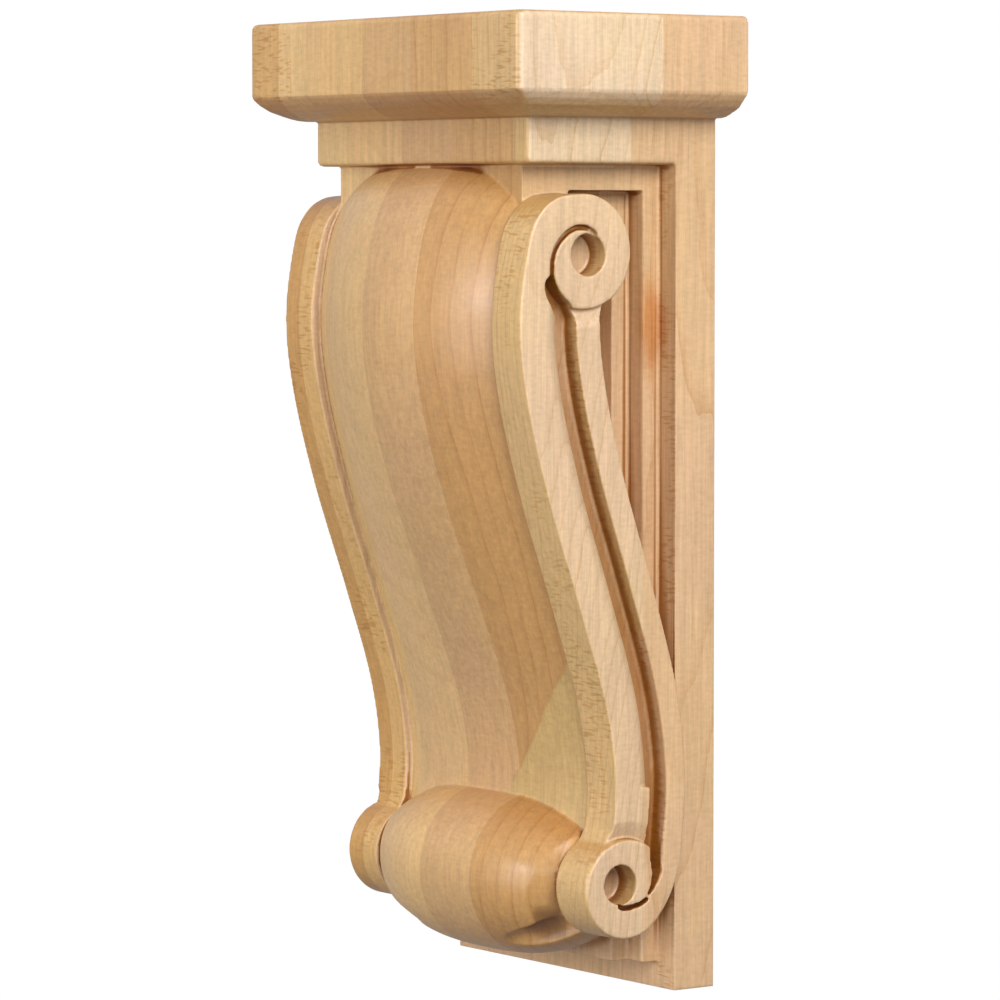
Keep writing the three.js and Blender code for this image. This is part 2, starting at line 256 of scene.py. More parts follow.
def pushed(bm, faces, move):  # faces extruded by a move; gives the new corners and faces
    grown = bmesh.ops.extrude_face_region(bm, geom=faces)["geom"]
    fresh = [part for part in grown if isinstance(part, bmesh.types.BMVert)]
    bmesh.ops.translate(bm, verts=fresh, vec=move)
    return fresh, [part for part in grown if isinstance(part, bmesh.types.BMFace)]


def block(name, across, out, up):
    bm = bmesh.new()
    bmesh.ops.create_cube(bm, size=1)
    spans = Vector((across[1] - across[0], out[1] - out[0], up[1] - up[0]))
    bmesh.ops.scale(bm, vec=spans, verts=bm.verts)
    middle = Vector(((across[0] + across[1]) / 2, -(out[0] + out[1]) / 2, (up[0] + up[1]) / 2))
    bmesh.ops.translate(bm, vec=middle, verts=bm.verts)
    return finished(bm, name)


def sideSlab(name, outline, start, end):  # an outline in out and up, as a slab that runs across
    bm = bmesh.new()
    face = bm.faces.new([bm.verts.new((start, -spot[0], spot[1])) for spot in outline])
    pushed(bm, [face], (end - start, 0, 0))
    return finished(bm, name)


def placedBox(name, steps, place):  # a box of many faces, its corners placed by a rule on three shares
    bm = bmesh.new()
    bmesh.ops.create_grid(bm, x_segments=steps[0], y_segments=steps[1], size=0.5)
    pushed(bm, bm.faces[:], (0, 0, 1))
    for vert in bm.verts:
        across, out, up = place(vert.co.x + 0.5, vert.co.z, vert.co.y + 0.5)
        vert.co = (across, -out, up)
    return finished(bm, name)


def moulding(name, halfWidth, depth, corner, edge):
    # a slab that grows level by level; edge lists insets and heights from the foot up
    bm = bmesh.new()
    plan = [Vector((-halfWidth, 0))]
    plan += arc(Vector((corner - halfWidth, corner - depth)), corner, 180, 270, 8)
    plan += arc(Vector((halfWidth - corner, corner - depth)), corner, 270, 360, 8)
    plan += [Vector((halfWidth, 0))]
    foot = face = bm.faces.new([bm.verts.new((spot.x, spot.y, 0)) for spot in plan])
    drawn, inset, level = bm.verts[:], 0.0, 0.0
    for newInset, up in edge:
        if level:
            below = face
            drawn, (face,) = pushed(bm, [below], (0, 0, up - level))
            if below is not foot:
                bmesh.ops.delete(bm, geom=[below], context="FACES_ONLY")
        else:
            bmesh.ops.translate(bm, verts=drawn, vec=(0, 0, up))
        step = newInset - inset
        for side in (-1, 1):
            bmesh.ops.translate(bm, verts=[v for v in drawn if v.co.x * side > 0], vec=(-side * step, 0, 0))
        bmesh.ops.translate(bm, verts=[v for v in drawn if v.co.y < -1], vec=(0, step, 0))
        inset, level = newInset, up
    return finished(bm, name)


def turned(name, profile, closedRing, lift=0.0, segments=120):
    # a profile of radius and place across, turned about the axis of the barrel
    bm = bmesh.new()
    spots = [bm.verts.new((across, -lowerCentre.x - radius, lowerCentre.y + lift))
             for radius, across in profile]
    pairs = list(zip(spots, spots[1:])) + ([(spots[-1], spots[0])] if closedRing else [])
    edges = [bm.edges.new(pair) for pair in pairs]
    bmesh.ops.spin(bm, geom=spots + edges, cent=(0, -lowerCentre.x, lowerCentre.y + lift), axis=(1, 0, 0),
                   angle=math.tau, steps=segments, use_merge=True, use_duplicate=False)
    return finished(bm, name)


def settle(piece):  # the modifiers become the mesh
    shaped = piece.evaluated_get(bpy.context.evaluated_depsgraph_get())
    mesh = bpy.data.meshes.new_from_object(shaped)
    piece.modifiers.clear()
    piece.data = mesh
    return piece


def worked(piece, operation, *tools):
    for tool in tools:
        step = piece.modifiers.new(tool.name, "BOOLEAN")
        step.operation, step.solver, step.object = operation, "MANIFOLD", tool
    settle(piece)
    for tool in tools:
        bpy.data.objects.remove(tool)
    return piece


def cutFrom(piece, *tools):
    return worked(piece, "DIFFERENCE", *tools)


def joinedTo(piece, *tools):
    return worked(piece, "UNION", *tools)


def grooveOutline():
    def dropWidth(degrees):
        share = (degrees - size.dropMiddle) / size.dropSpan
        return (size.grooveWidth - overlap) * math.sqrt(max(0.0, 1 - share ** 2))

    def tailWidth(degrees):
        return size.tailWidth * ((size.tailEnd - degrees) / size.tailSpan) ** 2

    return (
        coil(upper, -22, -66, 20)
        + alongLine(size.grooveTop, size.grooveFoot, 100, strandFront)
        + coil(lower, 168, 216, 14, tailWidth)
        + coil(lower, 222, 150, 24)
        + alongLine(size.grooveFoot, size.grooveTop, 100, bandBack)
        + coil(upper, -50, -26, 14, dropWidth)
    )


def slitOutline(end):
    start, stop = end.slitStart, end.coilEnd - size.slitShort

    def inner(degrees):  # the slit closes in on the eye as it winds
        return -size.slitIn * min(1.0, size.slitClosing * (degrees - start) / (stop - start))

    return (coil(end, start, stop, 40, lambda degrees: inner(degrees) + size.slitWidth)
            + coil(end, stop, start, 40, inner))


def easing():  # the band eased along the groove, deepest at its edge
    def place(depth, side, along):
        share = mix(size.easeFoot, size.easeTop, along)
        spread = mix(-overlap, size.easeWidth, side)
        floor = scrollFace - size.easeDepth * (1 - spread / size.easeWidth) ** size.easeFall
        spot = offLine(share, bandBack(share) + spread)
        return mix(floor, scrollFace + overlap, depth), spot.x, spot.y
    return placedBox("easing", (8, 90), lambda side, depth, along: place(depth, side, along))


def ramp(name, centre, radius, sweep):  # a strand eased down to the foot of a ring
    def place(turn, deep, side):
        floor = scrollFace - size.rampDepth * (1 - side)
        spot = around(centre, mix(*sweep, turn), radius + mix(-size.rampLap, size.rampReach, side))
        return mix(floor, scrollFace + overrun, deep), spot.x, spot.y
    return placedBox(name, (24, 8), place)


def scroll():
    def cut(name, outline, depth):
        return sideSlab(name, outline, scrollFace - depth, scrollFace + overrun)

    piece = sideSlab("scroll", scrollOutline, bodySide - size.scrollLap, scrollFace)
    cutFrom(piece, ramp("upperRamp", upperCentre, size.upperRadius, size.upperRamp),
            ramp("lowerRamp", lowerCentre, size.lowerRadius, size.lowerRamp))
    boss = circle(lowerCentre, size.lowerRadius - size.scrollLap)
    joinedTo(piece, sideSlab("boss", boss, scrollFace - overlap, scrollFace + size.bossHeight))
    return cutFrom(
        piece,
        cut("groove", grooveOutline(), size.grooveDepth),
        easing(),
        cut("upperSlit", slitOutline(upper), size.slitDepth),
        cut("lowerSlit", slitOutline(lower), size.slitDepth),
        cut("upperEye", circle(upper.eye, upper.eyeRadius), size.eyeDepth),
        cut("lowerEye", circle(lower.eye, lower.eyeRadius), size.eyeDepth),
    )


def crown(share, side):  # how far the face between the scrolls stands out from the line
    belly, shoulder = easedStep(share, 0, size.bellyEnd), easedStep(share, size.shoulderStart, 1)
    rise = mix(mix(size.crownFoot, size.crownMiddle, belly), size.crownTop, shoulder)
    sink = mix(mix(size.sinkFoot, size.sinkMiddle, belly), size.sinkTop, shoulder)
    power = mix(size.crownRound, size.crownFull, shoulder)
    return (rise + sink) * (1 - abs(side) ** power) - sink


def crownedFace():
    def place(across, front, up):
        side, share = 2 * across - 1, 1 - (1 - up) ** size.crownCrowding
        back = Vector((size.plateThickness / 2, mix(lowerCentre.y, scrollTop, share)))
        spot = back.lerp(offLine(share, crown(share, side)), front)
        return side * bodySide, spot.x, spot.y
    return placedBox("crownedFace", (80, 160), place)


def core(name, depth, start, end):
    return block(name, (-bodySide, bodySide), (size.plateThickness / 2, depth), (start, end))


def panel():  # each step is sunk deeper, a stile and a rail inside the one before
    steps = [block(
        f"panelStep{i}",
        (bodySide - (i + 1) * size.stepDepth, bodySide + overrun),
        (size.plateThickness + (i + 1) * size.stileWidth, size.capDepth),
        (size.bodyFoot - overrun, railUnderside - i * size.railHeight),
    ) for i in range(size.panelSteps)]
    front = alongLine(lineLap, 0.98, 100, lambda share: -overlap)
    ahead = front + [
        Vector((front[-1].x, size.height)), Vector((size.capDepth + overrun, size.height)),
        Vector((size.capDepth + overrun, 0)), Vector((lowerCentre.x, 0)),
    ]
    sunk = joinedTo(steps[0], *steps[1:])
    crest = block("crest", (0, size.capWidth), (upperCentre.x - size.crestBehind, size.capDepth),
                  (upperCentre.y, size.height))
    return cutFrom(sunk, crest, sideSlab("behindScroll", scrollOutline, 0, size.capWidth),
                   sideSlab("aheadOfScroll", ahead, 0, size.capWidth))


def barrel():
    def swell(side):
        return size.barrelRadius - barrelNarrowing * abs(side) ** size.barrelSwell, side * bodySide

    roll = turned("barrel", [(0, -bodySide)] + evenly(-1, 1, 72, swell) + [(0, bodySide)], False)
    inner = size.lowerRadius - size.cutDepth
    edge = bodySide - size.scrollLap / 2
    vee = turned("barrelCut", [
        (inner, edge), (inner, edge - size.cutLand), (size.barrelRadius, edge - size.cutMouth),
        (size.barrelRadius, edge),
    ], True, size.cutDepth)
    lip = block("lip", (0, bodySide), (0, lowerCentre.x + size.lipOut), (0, lowerCentre.y - size.lipDrop))
    back = block("back", (0, bodySide), (0, lowerCentre.x), (0, size.height))
    # a gouge mark closes the cut under the barrel
    ends = [Vector((across, *(around(lowerCentre, size.gougeAngle, radius) * Vector((-1, 1)))))
            for across, radius in (size.gougeFrom, size.gougeTo)]
    bm = bmesh.new()
    run = ends[1] - ends[0]
    turn = run.to_track_quat("Z", "Y").to_matrix().to_4x4()
    bmesh.ops.create_cone(bm, cap_ends=True, segments=48, radius1=size.gougeRadius, radius2=size.gougeRadius,
                          depth=run.length, matrix=Matrix.Translation((ends[0] + ends[1]) / 2) @ turn)
    return cutFrom(roll, cutFrom(vee, lip, back), finished(bm, "gouge"))


# how sheltered each point is: 0 in the open, 1 where wood stands close all round; the maple's painted shade
# in recesses follows it
def noteShelter(piece):
    reach, count = size.shelterReach, size.shelterRays
    bm = bmesh.new()
    bm.from_mesh(piece.data)
    wood = BVHTree.FromBMesh(bm)
    rays = []
    for i in range(count):  # spread over the half sphere, closer together overhead
        turn, lift = i * math.pi * (3 - math.sqrt(5)), math.sqrt(1 - (i + 0.5) / count)
        flat = math.sqrt(1 - lift * lift)
        rays.append(Vector((math.cos(turn) * flat, math.sin(turn) * flat, lift)))
    noted = bm.verts.layers.float.new("shelter")

    def note(verts):
        for vert in verts:
            start = vert.co + vert.normal * size.shelterLift
            upright = vert.normal.to_track_quat("Z", "Y")
            hits = [wood.ray_cast(start, upright @ ray, reach)[3] for ray in rays]
            vert[noted] = sum(1 - distance / reach for distance in hits if distance is not None) / count

    note(bm.verts)
    for i in range(size.steepRounds):  # long edges are cut where the shelter changes along them
        steep = [edge for edge in bm.edges if edge.calc_length() > size.steepLength
                 and abs(edge.verts[0][noted] - edge.verts[1][noted]) > size.steepChange]
        if len(bm.faces) + 2 * len(steep) > size.mostTriangles:
            break
        cut = bmesh.ops.subdivide_edges(bm, edges=steep, cuts=1)["geom_inner"]
        bmesh.ops.triangulate(bm, faces=[face for face in bm.faces if len(face.verts) > 3])
        bm.normal_update()
        note([part for part in cut if isinstance(part, bmesh.types.BMVert)])
        print("edges cut for the shelter:", len(steep))
    shelter = np.array([vert[noted] for vert in bm.verts], dtype=np.float32)
    bm.verts.layers.float.remove(noted)
    bm.to_mesh(piece.data)
    bm.free()
    ends = np.zeros(len(piece.data.edges) * 2, dtype=np.int32)
    piece.data.edges.foreach_get("vertices", ends)
    near, far = ends[::2], ends[1::2]
    links = np.bincount(ends, minlength=len(shelter))
    for i in range(size.shelterPasses):  # evened out between neighbours
        beside = np.bincount(near, shelter[far], len(links)) + np.bincount(far, shelter[near], len(links))
        shelter = (size.shelterOwn * shelter + (1 - size.shelterOwn) * beside / links).astype(np.float32)
    piece.data.attributes.new("shelter", "FLOAT", "POINT").data.foreach_set("value", shelter)
    print("shelter noted, up to", round(float(shelter.max()), 2))


# the whole corbel: shaped full width, with the right side's carving mirrored at the end
def corbel():
    body = joinedTo(
        crownedFace(),
        core("neck", neckDepth, tierUnderside - size.neckTenon, tierUnderside + overlap),
        core("heart", lowerCentre.x, lowerCentre.y - overlap, onLine(0).y),
        core("foot", lowerCentre.x - size.footSetback, size.bodyFoot, lowerCentre.y + overrun),
    )
    cutFrom(body, panel())
    print("body with its crowned face and panels:", len(body.data.polygons), "faces")
    bevel = [(inset, capUnderside + up) for inset, up in size.bevelSteps]
    cap = moulding("cap", size.capWidth / 2, size.capDepth, size.capCorner, bevel + [
        (0, capUnderside + size.bevelDrop + 0.5), (0, size.height - size.capArris),
        (size.capArris * 0.13, size.height - size.capArris * 0.5),  # the top arris is rounded in steps
        (size.capArris * 0.5, size.height - size.capArris * 0.13), (size.capArris, size.height),
    ])
    tierEdge = tierUnderside + size.tierArris
    tier = moulding("tier", plateSide, tierDepth, size.tierArris, [
        (size.tierArris, tierUnderside), (size.tierArris * 0.29, tierUnderside + size.tierArris * 0.29),
        (0, tierEdge), (0, capUnderside + overlap),
    ])
    plate = block("plate", (-plateSide, plateSide), (0, size.plateThickness), (0, tierEdge))
    joinedTo(body, barrel(), cap, tier, plate, scroll())
    print("joined:", len(body.data.polygons), "faces")

    right = body.modifiers.new("rightSideOver", "MIRROR")
    right.use_axis = (True, False, False)
    right.use_bisect_axis = (True, False, False)
    right.merge_threshold = 0.01
    settle(body)

    skin = body.modifiers.new("carvingGrid", "REMESH")
    skin.mode, skin.voxel_size, skin.adaptivity = "VOXEL", size.carvingGrid, 0
    sanding = body.modifiers.new("sanding", "SMOOTH")
    sanding.iterations, sanding.factor = size.sandingPasses, size.sandingStrength
    settle(body)
    print("carved skin:", len(body.data.polygons), "faces")
    thinning = body.modifiers.new("thinning", "DECIMATE")
    thinning.ratio = size.triangles / (2 * len(body.data.polygons))
    thinning.use_collapse_triangulate = True
    settle(body)

    noteShelter(body)

    # millimetres above the foot become metres in the frame
    shaped = bmesh.new()
    shaped.from_mesh(body.data)
    bmesh.ops.scale(shaped, vec=(0.001, 0.001, 0.001), verts=shaped.verts)
    bmesh.ops.translate(shaped, vec=(0, frameHigh.y, frameLow.z), verts=shaped.verts)
    shaped.to_mesh(body.data)
    shaped.free()
    body.data.shade_smooth()
    body.name = body.data.name = "carvedCorbel"
    print("corbel:", len(body.data.polygons), "triangles")
    return body


carvedCorbel = corbel()
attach(carvedCorbel, "root")
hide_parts("corbel")


class Signal:  # what comes out of a node's socket, to work with in expressions
    def __init__(self, graph, socket):
        self.graph, self.socket = graph, socket

    def __add__(self, other):
        return self.graph.maths("ADD", self, other)

    def __sub__(self, other):
        return self.graph.maths("SUBTRACT", self, other)

    def __rsub__(self, other):
        return self.graph.maths("SUBTRACT", other, self)

    def __mul__(self, other):
        return self.graph.maths("MULTIPLY", self, other)

    def __truediv__(self, other):
        return self.graph.maths("DIVIDE", self, other)

    def __pow__(self, other):
        return self.graph.maths("POWER", self, other)

    def __gt__(self, other):
        return self.graph.maths("GREATER_THAN", self, other)

    def __lt__(self, other):
        return self.graph.maths("LESS_THAN", self, other)

    __radd__, __rmul__ = __add__, __mul__


class Graph:  # the nodes of one material or world
    def __init__(self, material):
        material.use_nodes = True
        self.tree = material.node_tree

    def node(self, kind, settings=None, inputs=None, output=0):
        made = self.tree.nodes.new("ShaderNode" + kind)
        for name, value in (settings or {}).items():
            if name == "stops":
                self.setStops(made.color_ramp, value)
            else:
                setattr(made, name, value)
        for name, value in (inputs or {}).items():
            if isinstance(value, Signal):
                self.tree.links.new(value.socket, made.inputs[name])
            else:
                made.inputs[name].default_value = value
        if isinstance(output, tuple):
            return [Signal(self, made.outputs[name]) for name in output]
        return Signal(self, made.outputs[output])

    def setStops(self, ramp, stops):
        ramp.interpolation = "CONSTANT"
        while len(ramp.elements) < len(stops):
            ramp.elements.new(1.0)
        for element, (place, colour) in zip(ramp.elements, stops):
            element.position, element.color = place, (*colour, 1)

    def maths(self, operation, *values):
        return self.node("Math", {"operation": operation}, dict(enumerate(values)))

    def smooth(self, value, start, end):  # 0 before the start and 1 after the end
        limits = {"From Min": start, "From Max": end, "Value": value}
        return self.node("MapRange", {"interpolation_type": "SMOOTHSTEP"}, limits)

    def blend(self, share, first, second, way="MIX"):
        settings = {"data_type": "RGBA", "blend_type": way}
        return self.node("Mix", settings, {0: share, 6: first, 7: second}, 2)

    def tint(self, share, colour, tone):  # a colour times a tone, where the share is 1
        return self.blend(share, colour, self.blend(1.0, colour, (*tone, 1), "MULTIPLY"))


# maple under a clear glaze: a solid pattern, so that every cut shows the wood it goes through. Places
# are in mm from the middle of the corbel: across, out of the wall (below 0) and up.
mapleLook = {
    # staves across the block: right edge, colour, place of the pith, ring width, strength of its lines
    "staves": [
        (-57.7, (0.600, 0.350, 0.115), (-140, -60), 3.0, 0.45),
        (-41.2, (0.710, 0.465, 0.190), (-110, -20), 4.0, 0.35),
        (-9.8, (0.675, 0.425, 0.175), (-25, -150), 6.0, 0.30),
        (17.5, (0.582, 0.346, 0.143), (5, 80), 5.0, 0.25),
        (50.1, (0.575, 0.330, 0.122), (-60, -60), 6.4, 0.9),
        (75.0, (0.620, 0.400, 0.160), (14, -84), 2.3, 1.0),
    ],
    "backLayer": -33.2, "backColour": (0.66, 0.42, 0.215), "backPith": (8, -8), "backRing": 3.2,
    "backLines": 0.7,
    # colours of the sides, and tones of wood in some regions
    "capSide": (0.70, 0.515, 0.315), "scrollSide": (0.68, 0.468, 0.265),
    "heartwood": (0.89, 0.83, 0.72), "goldenwood": (0.92, 0.84, 0.68), "coolTone": (0.985, 0.975, 1.05),
    "lineColour": (0.80, 0.66, 0.48), "endColour": (0.80, 0.70, 0.56), "fleckColour": (0.82, 0.71, 0.50),
    "coolFrom": (-0.14, 0.14), "fleckFrom": (0.03, 0.20), "fleckPatch": (-0.06, 0.10), "fleckElsewhere": 0.15,
    # sapwood, which ends along a slanting edge with a thin line on it
    "sapwood": (0.54, 0.36, 0.128), "sapStrength": 0.9, "sapQuiet": 0.75,
    "sapSlope": 1.27, "sapStart": 46, "sapWaver": 6, "sapFade": 0.8, "sapLap": 6, "sapReach": -52,
    "sapTop": -20, "sapLine": (1.6, 0.2), "sapLineAcross": (14, 50), "sapLineStrength": 0.35,
    # mineral streak on the outer stile of the panel
    "mineral": (0.85, 0.58, 0.36), "mineralShape": 0.3, "mineralMiddle": (50.0, -19.0, 17.0),
    "mineralReach": (6.5, 1.5), "mineralWaver": 6,
    # painted shade in sheltered places: its tone, and the shelter where it starts and where it is full
    "paintedShades": [((0.50, 0.27, 0.05), 0.24, 0.38), ((0.72, 0.62, 0.50), 0.44, 0.62)],
    "paintedShadeWaver": 0.06, "footFade": (-146, -132), "panelRelief": 0.13, "cutTop": -85,
    # tones of painted shade on the front of the bevel under the cap, and of painted shade with some stain in
    # the gouge under the barrel
    "bevelShade": (0.82, 0.74, 0.70), "bevelZone": (120.5, 128.8), "gougeShadeAndStain": (0.50, 0.42, 0.34),
    "gougeMiddle": (40.0, -54.0, -132.5), "gougeReach": (10.5, 5.5), "gougeSkin": (0.3, 1.3),
    # how far a face has to turn to count as one that faces sideways or forward, up or down, and forward
    # on the bevel
    "facing": (0.45, 0.8), "endFacing": (0.3, 0.95), "bevelFacing": (0.2, 0.6),
    # growth rings and how strong each pattern is
    "pithLean": (0.05, 0.16), "lineSharpness": 7, "ringVariety": 0.75, "ringDrift": 7.0, "ringRipple": 1.3,
    "fibres": 0.42, "mottle": 0.30, "streaks": 0.42, "clouds": 0.20,
    # patterns: sizes in mm across, out and up, then detail and roughness
    "patterns": {
        "mineralEdge": (5, 5, 16, 2.0, 0.5), "drift": (38, 38, 110, 2.0, 0.5), "ripple": (8, 8, 26, 2.0, 0.5),
        "sapBend": (20, 20, 20, 2.0, 0.5), "fibre": (0.55, 0.55, 14, 3.0, 0.65),
        "mottle": (2.6, 2.6, 1.1, 2.0, 0.5), "broad": (26, 26, 70, 3.0, 0.5),
        "streak": (1.7, 1.7, 40, 2.5, 0.6), "cool": (45, 45, 60, 2.0, 0.5),
        "dash": (4.2, 4.2, 0.75, 0.0, 0.5), "dashPatch": (14, 14, 30, 2.0, 0.5),
        "waver": (11, 11, 20, 1.0, 0.5),
    },
    # roughness and relief, each with what the patterns add
    "roughness": 0.46, "fibreRough": 0.16, "broadRough": 0.12, "endRough": 0.10,
    "coat": 0.45, "coatRoughness": 0.22, "coatIndex": 1.5, "reliefMm": 1.0, "waverRelief": 0.30,
    "mottleRelief": 0.045, "fibreRelief": 0.035, "lineRelief": 0.03, "fleckRelief": 0.02,
}


def glazedMaple():
    look = mapleLook
    axisDrop = size.height / 2 - lowerCentre.y
    material = bpy.data.materials.new("glazedMaple")
    wood = Graph(material)
    place, facing = wood.node("TexCoord", output=("Object", "Normal"))
    spot = wood.node("VectorMath", {"operation": "SCALE"}, {0: place, "Scale": 1000})
    x, y, z = wood.node("SeparateXYZ", inputs={0: spot}, output=("X", "Y", "Z"))
    faceX, faceY, faceZ = wood.node("SeparateXYZ", inputs={0: facing}, output=("X", "Y", "Z"))

    def cloud(name):  # one of the patterns, from -0.5 to 0.5
        across, out, up, detail, roughness = look["patterns"][name]
        shrunk = (1 / across, 1 / out, 1 / up)
        scaled = wood.node("VectorMath", {"operation": "MULTIPLY"}, {0: spot, 1: shrunk})
        return wood.node("TexNoise", inputs={"Vector": scaled, "Scale": 1.0, "Detail": detail,
                                             "Roughness": roughness}) - 0.5

    # staves, told apart by their place across
    half, pithSpan, ringSpan = size.capWidth / 2, 400, 10
    edges = [-half] + [stave[0] for stave in look["staves"]][:-1]
    starts = [(edge + half) / (2 * half) for edge in edges]
    share = (x + half) / (2 * half)

    def byStave(values):
        return wood.node("ValToRGB", {"stops": list(zip(starts, values))}, {"Fac": share})

    back = y > look["backLayer"]
    colour = wood.blend(back, byStave([stave[1] for stave in look["staves"]]), (*look["backColour"], 1))
    pith = byStave([(px / pithSpan + 0.5, py / pithSpan + 0.5, ring / ringSpan)
                    for _, _, (px, py), ring, _ in look["staves"]])
    backPith = (look["backPith"][0] / pithSpan + 0.5, look["backPith"][1] / pithSpan + 0.5,
                look["backRing"] / ringSpan, 1)
    pithX, pithY, ring = wood.node("SeparateColor", inputs={0: wood.blend(back, pith, backPith)},
                                   output=("Red", "Green", "Blue"))
    lines = wood.node("SeparateColor", inputs={0: wood.blend(
        back, byStave([(stave[4],) * 3 for stave in look["staves"]]), (look["backLines"],) * 3 + (1,))})

    def distance(first, second):
        return wood.node("VectorMath", {"operation": "DISTANCE"}, {0: first, 1: second}, "Value")

    # mineral streak on the outer stile of the panel
    squeezed = wood.node("VectorMath", {"operation": "MULTIPLY"}, {0: spot, 1: (1, 1, look["mineralShape"])})
    fromStreak = distance(squeezed, look["mineralMiddle"])
    mineral = wood.smooth(fromStreak + cloud("mineralEdge") * look["mineralWaver"], *look["mineralReach"])
    colour = wood.tint(mineral, colour, look["mineral"])

    # growth rings round a pith that leans a little
    fromPithX = x - (pithX - 0.5) * pithSpan - z * look["pithLean"][0]
    fromPithY = y - (pithY - 0.5) * pithSpan - z * look["pithLean"][1]
    drift = cloud("drift") * look["ringDrift"] + cloud("ripple") * look["ringRipple"]
    rings = ((fromPithX * fromPithX + fromPithY * fromPithY) ** 0.5 + drift) / (ring * ringSpan)
    late = wood.maths("FRACT", rings) ** look["lineSharpness"]
    oneRing = wood.node("TexWhiteNoise", {"noise_dimensions": "1D"}, {"W": wood.maths("FLOOR", rings)})
    late = late * (oneRing * look["ringVariety"] + (1 - look["ringVariety"])) * lines

    # which way the surface faces
    sideways = wood.smooth(wood.maths("ABSOLUTE", faceX), *look["facing"])
    forward = wood.smooth(0 - faceY, *look["facing"])
    endways = wood.smooth(wood.maths("ABSOLUTE", faceZ), *look["endFacing"])
    outward = wood.maths("ABSOLUTE", x)
    outer = outward > look["staves"][-2][0]
    fromAxis = ((y + lowerCentre.x) * (y + lowerCentre.x) + (z + axisDrop) * (z + axisDrop)) ** 0.5
    barrelSkin = size.barrelRadius - (outward / bodySide) ** size.barrelSwell * barrelNarrowing
    intoBarrel = barrelSkin - fromAxis  # how deep a point lies inside the barrel's skin

    # colour of each region
    low = z < tierUnderside - size.height / 2 - 1
    sideColour = wood.blend(low, (*look["capSide"], 1), (*look["scrollSide"], 1))
    colour = wood.blend(sideways * (outward > bodySide - 1) * (1 - back), colour, sideColour)
    fromStave, toStave = look["staves"][3][0], look["staves"][4][0]
    heart = low * (x > fromStave) * (x < toStave) * (1 - back)
    colour = wood.tint(heart, colour, look["heartwood"])
    golden = low * (x < -bodySide) * (1 - back) * (1 - sideways)
    colour = wood.tint(golden, colour, look["goldenwood"])
    bend = cloud("sapBend") * look["sapWaver"]
    sapEdge = x * look["sapSlope"] + bend - (z + size.height / 2 - look["sapStart"])
    sapwood = wood.smooth(sapEdge, -look["sapFade"], look["sapFade"]) * (x > fromStave - look["sapLap"])
    sapwood = sapwood * (x < toStave)
    sapwood = sapwood * (y > look["sapReach"]) * (z < look["sapTop"]) * (intoBarrel < -0.5) * (1 - back)
    colour = wood.blend(sapwood * look["sapStrength"], colour, (*look["sapwood"], 1))
    lineFrom, lineTo = look["sapLineAcross"]
    edgeLine = wood.smooth(wood.maths("ABSOLUTE", sapEdge), *look["sapLine"]) * (y > look["sapReach"])
    edgeLine = edgeLine * (x > lineFrom) * (x < lineTo) * (z < look["sapTop"]) * (intoBarrel < -0.5)
    late = wood.maths("MAXIMUM", late * (1 - sapwood * look["sapQuiet"]), edgeLine * look["sapLineStrength"])

    # patterns of the grain
    fibre, mottle, broad, streak = cloud("fibre"), cloud("mottle"), cloud("broad"), cloud("streak")
    shade = 1 + fibre * look["fibres"] + mottle * look["mottle"] + broad * look["clouds"]
    shade = shade + streak * look["streaks"]
    colour = wood.blend(1.0, colour, shade, "MULTIPLY")
    cool = wood.smooth(cloud("cool"), *look["coolFrom"])
    colour = wood.tint(cool, colour, look["coolTone"])
    colour = wood.tint(late, colour, look["lineColour"])

    # ray flecks on the quarter-sawn front of the outer staves, and faint ones elsewhere
    dashes = wood.smooth(cloud("dash"), *look["fleckFrom"])
    dashes = dashes * wood.smooth(cloud("dashPatch"), *look["fleckPatch"])
    flecks = dashes * forward * (look["fleckElsewhere"] + outer * (1 - look["fleckElsewhere"]))
    colour = wood.tint(flecks, colour, look["fleckColour"])
    colour = wood.tint(endways, colour, look["endColour"])

    # painted shade: in the gouge under the barrel (with some stain there), on the front of the bevel under
    # the cap, and in sheltered recesses
    shelter = wood.node("Attribute", {"attribute_name": "shelter"}, output="Fac")
    inCut = (z < look["cutTop"]) * (outward < bodySide + 2)
    inPanel = sideways * (outward < scrollFace - size.grooveDepth - 1) * (1 - inCut)
    shelter = shelter - inPanel * look["panelRelief"]
    # painted shade, with some stain, on the cut face of the gouge under the barrel
    folded = wood.node("CombineXYZ", inputs={0: outward, 1: y, 2: z})
    away = distance(folded, look["gougeMiddle"])
    gouged = wood.smooth(away, *look["gougeReach"]) * wood.smooth(intoBarrel, *look["gougeSkin"])
    colour = wood.tint(gouged, colour, look["gougeShadeAndStain"])
    # painted shade on the front of the bevel, under the cap
    bevelFoot, bevelTop = look["bevelZone"]
    bevel = (z > bevelFoot) * (z < bevelTop) * wood.smooth(0 - faceY, *look["bevelFacing"])
    colour = wood.tint(bevel, colour, look["bevelShade"])
    # painted shade, deeper where more wood stands round, thinned on the panel and fading out at the foot
    for tone, start, full in look["paintedShades"]:
        paintedShadeShare = wood.smooth(shelter + broad * look["paintedShadeWaver"], start, full)
        colour = wood.tint(paintedShadeShare * wood.smooth(z, *look["footFade"]), colour, tone)

    rough = look["roughness"] + fibre * look["fibreRough"] + broad * look["broadRough"]
    rough = rough + endways * look["endRough"]
    relief = cloud("waver") * look["waverRelief"] + mottle * look["mottleRelief"]
    relief = relief + fibre * look["fibreRelief"] - late * look["lineRelief"] - flecks * look["fleckRelief"]
    bump = wood.node("Bump", inputs={"Strength": 1.0, "Distance": look["reliefMm"] / 1000, "Height": relief},
                     output="Normal")

